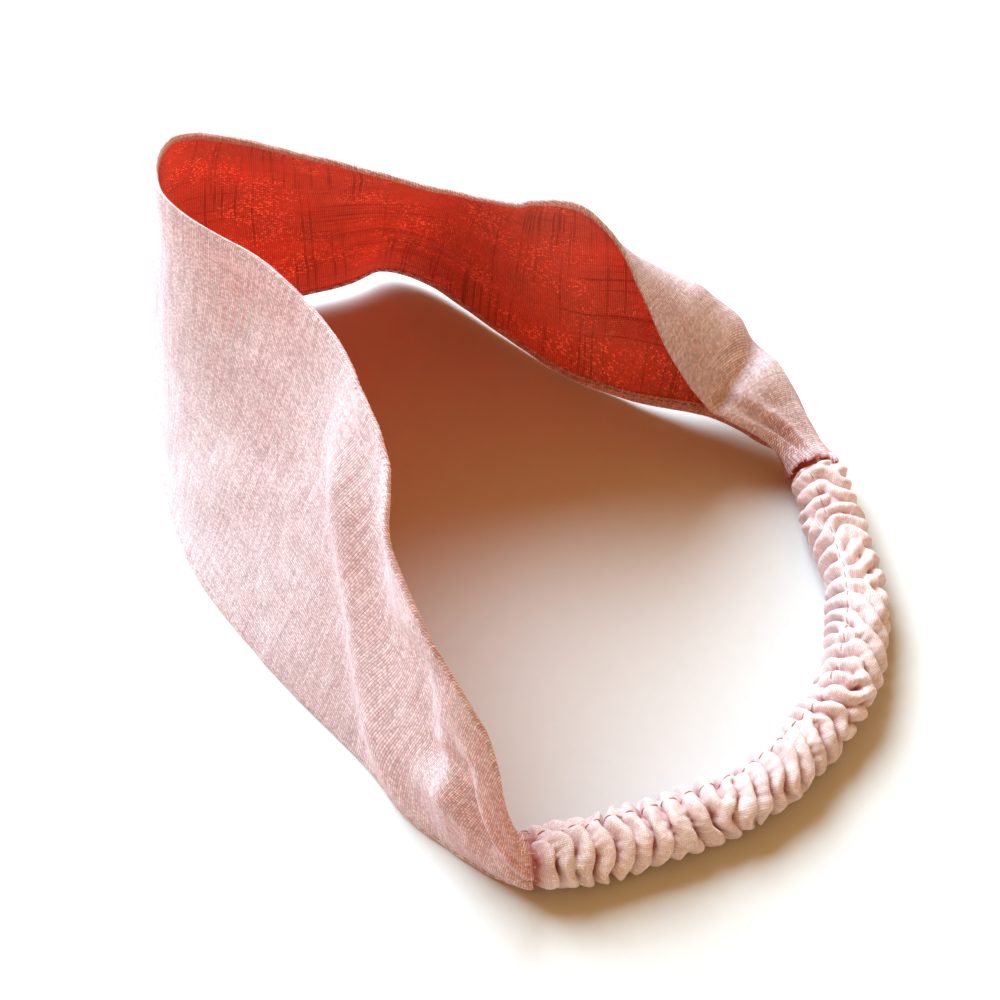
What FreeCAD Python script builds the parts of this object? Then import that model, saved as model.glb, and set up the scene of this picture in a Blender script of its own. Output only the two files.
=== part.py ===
"""Gathered-back headband in two layers of linen, lying as an open loop on its long edge.

Frame: the forehead is towards -Y, the elastic back towards +Y, +Z is up, and the origin is
on the table under the middle of the band. The wearer faces -Y, so their left is +X.
Millimetres throughout.
"""
import FreeCAD, Part
import math
import os
import Sketcher

Vector = FreeCAD.Vector
OUTPUT_FOLDER = "parts"

# Driving dimensions: alias, value, what it is.
DIMENSIONS = [
    ("panel_width", 96.0, "front panel, edge to edge at the forehead"),
    ("left_end_width", 14.0, "front panel where it is gathered into the casing, left"),
    ("right_end_width", 20.0, "the same on the right, which lies curled over"),
    ("taper_fullness", 1.6, "how quickly the panel widens from its ends: 1 is a plain sine"),
    ("cloth_thickness", 0.7, "one layer of linen"),
    ("layer_gap", 0.3, "between the outer layer and the lining"),
    ("lining_inset", 1.2, "lining stops this far short of each long edge"),
    ("edge_stitch_inset", 1.6, "edge stitching, from the fold of each long edge"),
    ("edge_stitch_width", 0.5, "width of a stitch row"),
    ("stitch_height", 0.6, "how far a stitch row stands off the cloth"),
    ("casing_size", 12.5, "gathered casing, across its round section"),
    ("casing_wall", 1.0, "gathered cloth between the folds and the channel"),
    ("elastic_height", 8.0, "elastic band, standing on its edge"),
    ("elastic_thickness", 1.2, "elastic band"),
    ("elastic_end_gap", 1.0, "elastic stops this far inside each end of the casing"),
    ("back_radius", 55.0, "bend of the middle of the casing"),
    ("back_turn", 59.0, "degrees turned by the middle of the casing"),
    ("side_radius", 120.0, "bend of each side of the casing"),
    ("side_turn", 18.25, "degrees turned by each side of the casing"),
    ("seam_size", 0.5, "seam thread on the casing"),
    ("seam_angle", 60.0, "degrees from level up to the seam, on the inner side"),
    ("tack_length", 1.6, "bar of stitches at each end of the elastic"),
    ("tack_height", 7.0, "bar of stitches, measured upwards"),
    ("tack_thickness", 0.5, "bar of stitches"),
]

# The casing starts at the wearer's left end of the panel: x, y and direction of travel.
CASING_START = (60.9, 53.1)
CASING_HEADING = 130.75

# How the panel stands, from the wearer's left end, round the forehead, to the right end.
# Each station is the foot of one cross-section: x, y, lift off the table, then the compass
# direction its outer face looks (degrees from +X), its outward lean at the foot, how far it
# curls inwards towards the top edge, and the share of the width where that curl is centred.
STATIONS = [
    (62.7, 51.0, 0.8, 350, 15, 40, 0.50),
    (66.7, 35.0, 0.4, 318, 10, 30, 0.50),
    (56.7, 5.0, 0.4, 288, -15, -19, 0.60),
    (46.7, -23.5, 0.3, 292, -18, -4, 0.80),
    (33.2, -51.5, 1.3, 291, -23, -9, 0.25),
    (10.7, -74.5, 0.3, 250, -18, -7, 0.25),
    (-17.3, -91.0, 1.8, 237, -15, 13, 0.55),
    (-51.6, -67.2, 3.0, 215, -26, 20, 0.80),
    (-64.3, -52.4, 2.3, 226, -28, 39, 0.80),
    (-54.3, -3.5, 0.4, 205, -3, 26, 0.55),
    (-57.3, 32.1, 2.6, 168, 62, 165, 0.45),
    (-52.3, 52.2, 2.0, 137, 50, 150, 0.45),
]
CURL_SPREAD = 0.8
SECTIONS_PER_STATION = 5
SECTION_POINTS = 7
STEPS_ALONG_SECTION = 60
END_ROW = (0.10, 0.13)


def make_sheet(document):
    """Put the driving dimensions in a spreadsheet and return the sheet."""
    sheet = document.addObject("Spreadsheet::Sheet", "Dimensions")
    for row, (alias, value, meaning) in enumerate(DIMENSIONS, start=1):
        sheet.set(f"A{row}", alias)
        sheet.set(f"B{row}", str(value))
        sheet.set(f"C{row}", meaning)
        sheet.setAlias(f"B{row}", alias)
    document.recompute()
    return sheet


def smooth_step(value):
    """Rise gently from 0 at 0 to 1 at 1."""
    value = min(1.0, max(0.0, value))
    return value * value * (3.0 - 2.0 * value)


def station_at(position):
    """Station values at a position along the table, eased from each station to the next."""
    last = len(STATIONS) - 1
    index = min(int(position), last - 1)
    share = position - index
    before = STATIONS[max(index - 1, 0)]
    after = STATIONS[min(index + 2, last)]
    values = []
    for one, two, three, four in zip(before, STATIONS[index], STATIONS[index + 1], after):
        start_slope = (three - one) / 2
        end_slope = (four - two) / 2
        rise = three - two
        square = 3 * rise - 2 * start_slope - end_slope
        cube = start_slope + end_slope - 2 * rise
        values.append(two + share * (start_slope + share * (square + share * cube)))
    return values


def loft_positions():
    """Positions of the lofted sections, evenly spread between the stations."""
    steps = SECTIONS_PER_STATION * (len(STATIONS) - 1)
    return [count / SECTIONS_PER_STATION for count in range(steps + 1)]


def panel_width_at(sheet, position):
    """Edge-to-edge width of the cut panel at a position along the table of stations."""
    share = position / (len(STATIONS) - 1)
    fullness = 1.0 - (1.0 - math.sin(math.pi * share)) ** sheet.taper_fullness
    end_width = sheet.left_end_width + (sheet.right_end_width - sheet.left_end_width) * share
    return end_width + (sheet.panel_width - end_width) * fullness


def section_side(sheet, position, span, offset):
    """Points up one side of a cross-section.

    span is where the side starts and ends, in mm up from the foot, or back from the top edge
    if negative; an end of 0 is the top edge. offset is how far it stands outside the middle.
    """
    x, y, lift, facing, lean, curl, centre = station_at(position)
    width = panel_width_at(sheet, position)
    low = span[0] if span[0] >= 0 else width + span[0]
    high = span[1] if span[1] > 0 else width + span[1]
    outward = Vector(math.cos(math.radians(facing)), math.sin(math.radians(facing)), 0)
    upward = Vector(0, 0, 1)
    step = width / STEPS_ALONG_SECTION
    middle = Vector(x, y, lift)
    track = []
    for count in range(STEPS_ALONG_SECTION + 1):
        share = count / STEPS_ALONG_SECTION
        turned = smooth_step((share - centre) / CURL_SPREAD + 0.5)
        angle = math.radians(lean - curl * turned)
        along = outward * math.sin(angle) + upward * math.cos(angle)
        across = outward * math.cos(angle) - upward * math.sin(angle)
        track.append(middle + across * offset)
        middle = middle + along * step
    points = []
    for count in range(SECTION_POINTS):
        place = (low + (high - low) * count / (SECTION_POINTS - 1)) / step
        index = min(int(place), STEPS_ALONG_SECTION - 1)
        points.append(track[index] + (track[index + 1] - track[index]) * (place - index))
    return points


def section_wire(sheet, position, span, offsets):
    """Closed outline of a thin strip of cloth at one station."""
    knots = list(range(SECTION_POINTS))
    inner = section_side(sheet, position, span, offsets[0])
    outer = section_side(sheet, position, span, offsets[1])
    inner_curve = Part.BSplineCurve()
    inner_curve.interpolate(Points=inner, Parameters=knots)
    outer_curve = Part.BSplineCurve()
    outer_curve.interpolate(Points=outer, Parameters=knots)
    edges = [
        inner_curve.toShape(),
        Part.makeLine(inner[-1], outer[-1]),
        outer_curve.toShape(),
        Part.makeLine(outer[0], inner[0]),
    ]
    return Part.Wire(Part.__sortEdges__(edges))


def add_cloth(document, sheet, label, span, offsets, positions=None):
    """Loft a strip of cloth or a row of stitches through the stations, straight between them."""
    if positions is None:
        positions = loft_positions()
    wires = [section_wire(sheet, place, span, offsets) for place in positions]
    feature = document.addObject("Part::Feature", label)
    feature.Label = label
    feature.Shape = Part.makeLoft(wires, True, True)
    return feature


def add_panel(document, sheet):
    """Outer linen, lining, and the stitch rows sewn on them."""
    half_gap = sheet.layer_gap / 2
    face = half_gap + sheet.cloth_thickness
    proud = face + sheet.stitch_height
    stitch_gap = 0.25
    inset = sheet.lining_inset
    row_low = sheet.edge_stitch_inset
    row_high = row_low + sheet.edge_stitch_width
    last = len(STATIONS) - 1
    start_row, end_row = END_ROW
    outside = (face + stitch_gap, proud)
    return [
        add_cloth(document, sheet, "outer_panel", (0.0, 0.0), (half_gap, face)),
        add_cloth(document, sheet, "lining_panel", (inset, -inset), (-face, -half_gap)),
        add_cloth(document, sheet, "bottom_edge_stitching", (row_low, row_high), outside),
        add_cloth(document, sheet, "top_edge_stitching", (-row_high, -row_low), outside),
        add_cloth(document, sheet, "left_end_stitching", (3.0, -3.0), outside,
                  (start_row, end_row)),
        add_cloth(document, sheet, "right_end_stitching", (3.0, -3.0), outside,
                  (last - end_row, last - start_row)),
    ]


def origin_plane(body, role):
    """The body's own origin plane with the given role."""
    return next(item for item in body.Origin.OriginFeatures if item.Role == role)


def add_sketch(body, name, role):
    """New sketch on one of the body's origin planes."""
    sketch = body.newObject("Sketcher::SketchObject", name)
    sketch.AttachmentSupport = [(origin_plane(body, role), "")]
    sketch.MapMode = "FlatFace"
    return sketch


def constrain(sketch, name, *arguments, expression=None):
    """Add a constraint, name it, and bind it to the spreadsheet if it has an expression."""
    number = sketch.addConstraint(Sketcher.Constraint(*arguments))
    if expression:
        sketch.renameConstraint(number, name)
        sketch.setExpression(f"Constraints.{name}", expression)


def polar(radius, degrees):
    """Point at a radius and a direction from the origin, in the table's plane."""
    return Vector(radius * math.cos(math.radians(degrees)),
                  radius * math.sin(math.radians(degrees)), 0)


def trimmed_turn(sheet, trim):
    """Degrees turned by one side of the casing once trim has been taken off its length."""
    return sheet.side_turn - math.degrees(trim / sheet.side_radius)


def casing_arcs(sheet, trim, place, facing):
    """Centre, radius, start direction and turn of the casing's three tangent arcs."""
    side = (sheet.side_radius, trimmed_turn(sheet, trim))
    back = (sheet.back_radius, sheet.back_turn)
    arcs = []
    for radius, turn in (side, back, side):
        centre = place + polar(radius, facing + 90)
        arcs.append((centre, radius, facing - 90, turn))
        facing += turn
        place = centre + polar(radius, facing - 90)
    return arcs


def draw_path(sketch, sheet, trim_expression, trim):
    """Three tangent arcs from the sketch's origin, setting off along its Y axis."""
    arcs = casing_arcs(sheet, trim, Vector(0, 0, 0), 90.0)
    turn_of_side = f"Dimensions.side_turn - {trim_expression} / Dimensions.side_radius * 180 / pi"
    names = [
        ("first", "Dimensions.side_radius", turn_of_side),
        ("middle", "Dimensions.back_radius", "Dimensions.back_turn"),
        ("last", "Dimensions.side_radius", turn_of_side),
    ]
    for number, (arc, (name, radius_from, turn_from)) in enumerate(zip(arcs, names)):
        centre, radius, start, turn = arc
        circle = Part.Circle(centre, Vector(0, 0, 1), radius)
        start_angle = math.radians(start)
        turned = math.radians(turn)
        sketch.addGeometry(Part.ArcOfCircle(circle, start_angle, start_angle + turned))
        if number == 0:
            constrain(sketch, "", "Coincident", 0, 1, -1, 1)
            constrain(sketch, "", "PointOnObject", 0, 3, -1)
        else:
            constrain(sketch, "", "Tangent", number - 1, 2, number, 1)
        constrain(sketch, f"{name}_radius", "Radius", number, radius, expression=radius_from)
        constrain(sketch, f"{name}_turn", "Angle", number, turned, expression=turn_from)


def casing_placement(sheet, trim):
    """Where the casing's path starts once trimmed, turned from the sketch's Y axis."""
    centre, radius, start, _ = casing_arcs(sheet, 0.0, Vector(*CASING_START, 0), CASING_HEADING)[0]
    turned = math.degrees(trim / sheet.side_radius)
    place = centre + polar(radius, start + turned)
    place.z = sheet.casing_size / 2
    return FreeCAD.Placement(place, FreeCAD.Rotation(Vector(0, 0, 1), start + turned))


def add_ring(sketch, name, centre, radius, radius_from, distance_from=None):
    """Circle on a profile sketch, centred on the path or at a bound distance from it."""
    number = sketch.addGeometry(Part.Circle(centre, Vector(0, 0, 1), radius))
    if distance_from is None:
        constrain(sketch, "", "Coincident", number, 3, -1, 1)
    else:
        across_from, up_from = distance_from
        constrain(sketch, f"{name}_across", "DistanceX", number, 3, -1, 1, -centre.x,
                  expression=across_from)
        constrain(sketch, f"{name}_up", "DistanceY", -1, 1, number, 3, centre.y,
                  expression=up_from)
    constrain(sketch, f"{name}_radius", "Radius", number, radius, expression=radius_from)


def add_rectangle(sketch, width, height, width_from, height_from):
    """Rectangle on a profile sketch, centred on the path."""
    right, top = width / 2, height / 2
    corners = [Vector(-right, -top, 0), Vector(right, -top, 0),
               Vector(right, top, 0), Vector(-right, top, 0)]
    for number in range(4):
        sketch.addGeometry(Part.LineSegment(corners[number], corners[(number + 1) % 4]))
    for number in range(4):
        constrain(sketch, "", "Coincident", number, 2, (number + 1) % 4, 1)
    for number, kind in enumerate(("Horizontal", "Vertical", "Horizontal", "Vertical")):
        constrain(sketch, "", kind, number)
    constrain(sketch, "", "Symmetric", 0, 1, 2, 1, -1, 1)
    constrain(sketch, "width", "DistanceX", 0, 1, 0, 2, width, expression=width_from)
    constrain(sketch, "height", "DistanceY", 1, 1, 1, 2, height, expression=height_from)


def add_swept_body(document, sheet, label, draw_profile, trim_expression="0", trim=0.0):
    """Body swept along the casing's path, with a profile drawn by the given function."""
    body = document.addObject("PartDesign::Body", label)
    body.Label = label
    path = add_sketch(body, f"{label}_path", "XY_Plane")
    draw_path(path, sheet, trim_expression, trim)
    profile = add_sketch(body, f"{label}_profile", "XZ_Plane")
    draw_profile(profile)
    document.recompute()
    pipe = body.newObject("PartDesign::AdditivePipe", f"{label}_sweep")
    pipe.Profile = profile
    pipe.Spine = (path, ["Edge1", "Edge2", "Edge3"])
    body.Tip = pipe
    body.Placement = casing_placement(sheet, trim)
    return body


def add_casing(document, sheet):
    """Gathered casing, a round tube of cloth round the elastic's channel."""
    def draw(sketch):
        outer = sheet.casing_size / 2
        inner = outer - sheet.casing_wall
        add_ring(sketch, "outside", Vector(0, 0, 0), outer, "Dimensions.casing_size / 2")
        add_ring(sketch, "channel", Vector(0, 0, 0), inner,
                 "Dimensions.casing_size / 2 - Dimensions.casing_wall")
    return add_swept_body(document, sheet, "elastic_casing", draw)


def add_elastic(document, sheet):
    """Flat elastic standing on its edge inside the casing."""
    def draw(sketch):
        add_rectangle(sketch, sheet.elastic_thickness, sheet.elastic_height,
                      "Dimensions.elastic_thickness", "Dimensions.elastic_height")
    return add_swept_body(document, sheet, "elastic_band", draw,
                          "Dimensions.elastic_end_gap", sheet.elastic_end_gap)


def add_casing_seam(document, sheet):
    """Seam thread that closes the casing, along its upper inner side."""
    radius = sheet.seam_size / 2
    reach_from = "(Dimensions.casing_size / 2 + Dimensions.seam_size / 2 + 0.05)"
    reach = sheet.casing_size / 2 + radius + 0.05
    rise = math.radians(sheet.seam_angle)

    def draw(sketch):
        centre = Vector(-reach * math.cos(rise), reach * math.sin(rise), 0)
        add_ring(sketch, "seam", centre, radius, "Dimensions.seam_size / 2", (
            f"{reach_from} * cos(Dimensions.seam_angle)",
            f"{reach_from} * sin(Dimensions.seam_angle)",
        ))
    return add_swept_body(document, sheet, "casing_seam_stitching", draw)


def add_tack(document, sheet, label, from_start):
    """Bar of stitches that holds one end of the elastic, on its outer face."""
    box = document.addObject("Part::Box", label)
    box.Label = label
    box.setExpression("Length", "Dimensions.tack_thickness")
    box.setExpression("Width", "Dimensions.tack_length")
    box.setExpression("Height", "Dimensions.tack_height")
    arcs = casing_arcs(sheet, 0.0, Vector(*CASING_START, 0), CASING_HEADING)
    centre, radius, start, turn = arcs[0] if from_start else arcs[2]
    inset = math.degrees((sheet.elastic_end_gap + 2 * sheet.tack_length) / radius)
    direction = start + inset if from_start else start + turn - inset
    reach = radius + sheet.elastic_thickness / 2 + 0.1
    corner = Vector(reach, -sheet.tack_length / 2, 0)
    turned = FreeCAD.Rotation(Vector(0, 0, 1), direction)
    place = centre + turned.multVec(corner)
    place.z = (sheet.casing_size - sheet.tack_height) / 2
    box.Placement = FreeCAD.Placement(place, turned)
    return box


def check(document, parts):
    """Stop if anything failed to build."""
    for item in document.Objects:
        if "Invalid" in item.State or "Error" in item.State:
            raise RuntimeError(f"{item.Label} failed: {item.State}")
    for part in parts:
        if part.Shape.isNull() or not part.Shape.isValid():
            raise RuntimeError(f"{part.Label} has no valid shape")


def main():
    """Build every piece, check it and write it out."""
    document = FreeCAD.newDocument("Headband")
    sheet = make_sheet(document)
    parts = add_panel(document, sheet)
    parts.append(add_casing(document, sheet))
    parts.append(add_elastic(document, sheet))
    parts.append(add_casing_seam(document, sheet))
    parts.append(add_tack(document, sheet, "left_elastic_tack", True))
    parts.append(add_tack(document, sheet, "right_elastic_tack", False))
    document.recompute()
    check(document, parts)
    os.makedirs(OUTPUT_FOLDER, exist_ok=True)
    for part in parts:
        part.Shape.exportStep(f"{OUTPUT_FOLDER}/{part.Label}.step")
        box = part.Shape.BoundBox
        print(f"{part.Label}: {part.Shape.Volume:.0f} mm3, {len(part.Shape.Solids)} solid, "
              f"X {box.XMin:.1f}..{box.XMax:.1f} Y {box.YMin:.1f}..{box.YMax:.1f} "
              f"Z {box.ZMin:.1f}..{box.ZMax:.1f}")


main()
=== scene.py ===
"""Gathered-back linen headband: its looks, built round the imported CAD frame.

Frame: the forehead is towards -Y, the elastic back towards +Y, +Z is up, and the wearer's
left is +X. Metres throughout; angles are in degrees.
"""
import math

import bpy
import numpy as np
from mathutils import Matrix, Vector


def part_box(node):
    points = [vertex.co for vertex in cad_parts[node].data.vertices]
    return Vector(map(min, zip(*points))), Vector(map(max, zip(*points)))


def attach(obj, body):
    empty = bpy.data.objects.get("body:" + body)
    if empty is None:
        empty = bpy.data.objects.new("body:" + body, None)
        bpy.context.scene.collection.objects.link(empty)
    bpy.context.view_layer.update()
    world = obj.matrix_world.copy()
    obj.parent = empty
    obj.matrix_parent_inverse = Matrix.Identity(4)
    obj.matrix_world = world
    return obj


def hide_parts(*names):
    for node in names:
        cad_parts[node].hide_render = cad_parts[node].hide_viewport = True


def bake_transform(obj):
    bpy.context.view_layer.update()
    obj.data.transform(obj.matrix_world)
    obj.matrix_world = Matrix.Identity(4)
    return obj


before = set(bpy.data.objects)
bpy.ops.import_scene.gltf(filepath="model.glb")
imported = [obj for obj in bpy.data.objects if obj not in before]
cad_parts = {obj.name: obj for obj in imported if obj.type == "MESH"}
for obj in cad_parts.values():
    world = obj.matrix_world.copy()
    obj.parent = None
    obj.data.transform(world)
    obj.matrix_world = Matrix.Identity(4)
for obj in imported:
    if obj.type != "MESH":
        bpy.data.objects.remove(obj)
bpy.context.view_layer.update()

# The panel's cut and the casing's path, as in the CAD source.
PANEL_WIDTH = 0.096
LEFT_END_WIDTH = 0.014
RIGHT_END_WIDTH = 0.020
TAPER_FULLNESS = 1.6
CURL_SPREAD = 0.8
SECTION_STEPS = 96
CASING_START = (0.0609, 0.0531)
CASING_HEADING = 130.75
CASING_ARCS = [(0.120, 18.25), (0.055, 59.0), (0.120, 18.25)]
CASING_RADIUS = 0.00625

# Stations from the wearer's left end, round the forehead, to the right end: foot x, y and
# lift, compass direction of the outer face, lean, inward curl, and the curl's centre. The
# values were fitted by another program to the panel's outline, then partly changed by hand.
STATIONS = [
    (0.0627, 0.0510, 0.0008, 350, 15, 40, 0.50),
    (0.0667, 0.0350, 0.0004, 318, 10, 30, 0.50),
    (0.0567, 0.0050, 0.0004, 288, -15, -19, 0.60),
    (0.0467, -0.0235, 0.0003, 292, -18, -4, 0.80),
    (0.0332, -0.0515, 0.0013, 291, -23, -9, 0.25),
    (0.0107, -0.0745, 0.0003, 250, -18, -7, 0.25),
    (-0.0173, -0.0910, 0.0018, 237, -15, 13, 0.55),
    (-0.0516, -0.0672, 0.0030, 215, -26, 20, 0.80),
    (-0.0643, -0.0524, 0.0023, 226, -28, 39, 0.80),
    (-0.0543, -0.0035, 0.0004, 205, -3, 26, 0.55),
    (-0.0573, 0.0321, 0.0026, 168, 62, 165, 0.45),
    (-0.0523, 0.0522, 0.0020, 137, 50, 150, 0.45),
]
LAST_STATION = len(STATIONS) - 1

# Cloth, as the mesh is laid out.
CLOTH_THICKNESS = 0.00034
OUTER_OFFSET = 0.00024
LINING_OFFSET = -0.00020
HEM_OFFSET = -0.00064
BOTTOM_HEM = 0.0024
TOP_HEM = 0.0016
LINING_INSET = 0.0009
ROWS_ALONG = 430
COLUMNS_ACROSS = 124

# Pockets at the panel's two ends, left then right, that take in the casing's ends: how far
# each reaches past the casing's nominal end, how far it is rolled inwards, in degrees, and
# its width from the bottom edge up.
POCKET_REACHES = (-0.0058, 0.0026)
POCKET_ROLLS = (0.0, 52.0)
POCKET_WIDTHS = (0.0146, 0.0126)
POCKET_BOTTOM = -0.0061
POCKET_THICKNESS = 0.0086
POCKET_LENGTH = 0.0010
TUCK_LENGTH = 0.0180

# Weave.
THREAD_PITCH = 0.00042
THREAD_DRIFT = 0.0010


# ---------------------------------------------------------------- number helpers


def eased(value):
    """Rise gently from 0 at 0 to 1 at 1."""
    value = np.clip(value, 0.0, 1.0)
    return value * value * (3.0 - 2.0 * value)


def soft_noise(first, second, size, seed):
    """Smooth random heights from -1 to 1 over two coordinates, with lumps about size across."""
    lattice = np.random.default_rng(seed).uniform(-1.0, 1.0, (64, 64))
    first = np.asarray(first) / size + 20.0
    second = np.asarray(second) / size + 20.0
    row = np.floor(first).astype(int)
    column = np.floor(second).astype(int)
    down = eased(first - row)
    right = eased(second - column)
    top = lattice[row % 64, column % 64] * (1 - right) + lattice[row % 64, (column + 1) % 64] * right
    low = (lattice[(row + 1) % 64, column % 64] * (1 - right)
           + lattice[(row + 1) % 64, (column + 1) % 64] * right)
    return top * (1 - down) + low * down


def unit(vectors):
    """Vectors scaled to length 1."""
    return vectors / np.maximum(np.linalg.norm(vectors, axis=-1, keepdims=True), 1e-12)


# ---------------------------------------------------------------- the panel's surface


def station_values(position):
    """Station values at positions along the table, eased from each station to the next."""
    table = np.array(STATIONS)
    index = np.minimum(position.astype(int), LAST_STATION - 1)
    share = (position - index)[:, None]
    before = table[np.maximum(index - 1, 0)]
    one = table[index]
    two = table[index + 1]
    after = table[np.minimum(index + 2, LAST_STATION)]
    start_slope = (two - before) / 2
    end_slope = (after - one) / 2
    rise = two - one
    square = 3 * rise - 2 * start_slope - end_slope
    cube = start_slope + end_slope - 2 * rise
    return one + share * (start_slope + share * (square + share * cube))


def panel_width(position):
    """Edge-to-edge width of the cut panel at positions along the table."""
    share = position / LAST_STATION
    fullness = 1.0 - (1.0 - np.clip(np.sin(np.pi * share), 0, 1)) ** TAPER_FULLNESS
    end_width = LEFT_END_WIDTH + (RIGHT_END_WIDTH - LEFT_END_WIDTH) * share
    return end_width + (PANEL_WIDTH - end_width) * fullness


def panel_surface(position, across, offset):
    """Points of the standing panel: rows by position, columns by metres up from the foot."""
    values = station_values(position)
    width = panel_width(position)[:, None]
    shares = np.linspace(0.0, 1.0, SECTION_STEPS + 1)
    turned = eased((shares[None] - values[:, 6:7]) / CURL_SPREAD + 0.5)
    angle = np.radians(values[:, 4:5] - values[:, 5:6] * turned)
    step = width / SECTION_STEPS
    nothing = np.zeros((len(position), 1))
    out = np.concatenate([nothing, np.cumsum(np.sin(angle[:, :-1]) * step, 1)], 1)
    rise = np.concatenate([nothing, np.cumsum(np.cos(angle[:, :-1]) * step, 1)], 1)
    place = across / width
    rows = range(len(position))
    out_here = np.array([np.interp(place[row], shares, out[row]) for row in rows])
    rise_here = np.array([np.interp(place[row], shares, rise[row]) for row in rows])
    angle_here = np.array([np.interp(place[row], shares, angle[row]) for row in rows])
    out_here = out_here + np.cos(angle_here) * offset
    rise_here = rise_here - np.sin(angle_here) * offset
    facing = np.radians(values[:, 3:4])
    return np.stack([
        values[:, 0:1] + np.cos(facing) * out_here,
        values[:, 1:2] + np.sin(facing) * out_here,
        values[:, 2:3] + rise_here,
    ], -1)


def measure_panel():
    """Positions along the table and the length of the panel's middle line up to each."""
    position = np.linspace(0.0, LAST_STATION, 600)
    middle = panel_surface(position, panel_width(position)[:, None] / 2, 0.0)[:, 0]
    steps = np.linalg.norm(np.diff(middle, axis=0), axis=1)
    return position, np.concatenate([[0.0], np.cumsum(steps)])


MEASURED_POSITIONS, MEASURED_LENGTHS = measure_panel()
PANEL_LENGTH = MEASURED_LENGTHS[-1]


def position_at(length):
    """Position along the table at a length along the panel's middle line."""
    return np.interp(length, MEASURED_LENGTHS, MEASURED_POSITIONS)


# ---------------------------------------------------------------- the casing's path


def casing_frame(length):
    """Centre and inner side of the casing at lengths along its path.

    The path runs straight on before its start and after its end.
    """
    heading = math.radians(CASING_HEADING)
    place = np.array(CASING_START)
    spans = []
    for radius, turn in CASING_ARCS:
        spans.append((place, heading, radius, radius * math.radians(turn)))
        side = np.array([-math.sin(heading), math.cos(heading)]) * radius
        centre = place + side
        heading += math.radians(turn)
        place = centre - np.array([-math.sin(heading), math.cos(heading)]) * radius
    total = sum(span[3] for span in spans)
    length = np.asarray(length, float)
    inside = np.clip(length, 0.0, total)
    centre = np.zeros((len(length), 3))
    ahead = np.zeros((len(length), 3))
    start = 0.0
    for place, heading, radius, span in spans:
        here = (inside >= start) & (inside <= start + span)
        turned = heading + (inside[here] - start) / radius
        middle = place + np.array([-math.sin(heading), math.cos(heading)]) * radius
        centre[here, 0] = middle[0] + radius * np.sin(turned)
        centre[here, 1] = middle[1] - radius * np.cos(turned)
        ahead[here, 0] = np.cos(turned)
        ahead[here, 1] = np.sin(turned)
        start += span
    centre += ahead * (length - inside)[:, None]
    centre[:, 2] = CASING_RADIUS
    inner = np.stack([-ahead[:, 1], ahead[:, 0], ahead[:, 2]], -1)
    return centre, inner


CASING_LENGTH = sum(radius * math.radians(turn) for radius, turn in CASING_ARCS)


# ---------------------------------------------------------------- meshes


def grid_faces(rows, columns, start=0, wrap=False):
    """Quads joining a grid of vertices, closed round its columns if it wraps."""
    number = np.arange(rows * columns).reshape(rows, columns) + start
    if wrap:
        number = np.concatenate([number, number[:, :1]], 1)
    corners = [number[:-1, :-1], number[:-1, 1:], number[1:, 1:], number[1:, :-1]]
    return np.stack(corners, -1).reshape(-1, 4)


def grid_normals(points, wrap=False):
    """Unit normals of a grid of points, on the side that its faces look to."""
    along = np.gradient(points, axis=0)
    if wrap:
        across = (np.roll(points, -1, axis=1) - np.roll(points, 1, axis=1)) / 2
    else:
        across = np.gradient(points, axis=1)
    return unit(np.cross(across, along))


def add_uv_map(mesh, name, values):
    """Store two numbers for each vertex of a mesh in a UV map."""
    corner = np.zeros(len(mesh.loops), np.int32)
    mesh.loops.foreach_get("vertex_index", corner)
    mesh.uv_layers.new(name=name).data.foreach_set("uv", values[corner].astype(np.float32).ravel())


def new_mesh(name, points, faces, uv=None):
    """Object with a smooth-shaded mesh, and a UV map of the flat cloth in metres if given."""
    mesh = bpy.data.meshes.new(name)
    mesh.from_pydata(points.tolist(), [], faces.tolist())
    mesh.update()
    mesh.shade_smooth()
    if uv is not None:
        add_uv_map(mesh, "FlatCloth", uv)
    piece = bpy.data.objects.new(name, mesh)
    bpy.context.scene.collection.objects.link(piece)
    return piece


def thick_cloth(name, points, flat, thickness, wrap=False, hidden=None):
    """Closed sheet of cloth from a grid of middle points and their places in the flat cloth.

    The faces of a hidden side, "front" or "back", take the second material.
    """
    rows, columns = points.shape[:2]
    normals = grid_normals(points, wrap)
    front = points + normals * thickness / 2
    back = points - normals * thickness / 2
    count = rows * columns
    front_faces = grid_faces(rows, columns, 0, wrap)
    back_faces = grid_faces(rows, columns, count, wrap)[:, ::-1]
    number = np.arange(count).reshape(rows, columns)
    rims = []
    edges = [number[0], number[-1][::-1]]
    if wrap:
        edges = [np.append(number[0], number[0, 0]), np.append(number[-1], number[-1, 0])[::-1]]
    else:
        edges += [number[:, 0][::-1], number[:, -1]]
    for edge in edges:
        rims.append(np.stack([edge[1:], edge[:-1], edge[:-1] + count, edge[1:] + count], -1))
    faces = np.concatenate([front_faces, back_faces] + rims)
    vertices = np.concatenate([front.reshape(-1, 3), back.reshape(-1, 3)])
    uv = np.concatenate([flat.reshape(-1, 2)] * 2)
    piece = new_mesh(name, vertices, faces, uv)
    slots = np.zeros(len(faces), np.int32)
    if hidden == "front":
        slots[:len(front_faces)] = 1
    if hidden == "back":
        slots[len(front_faces):len(front_faces) + len(back_faces)] = 1
    piece.data.polygons.foreach_set("material_index", slots)
    return piece


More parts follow.
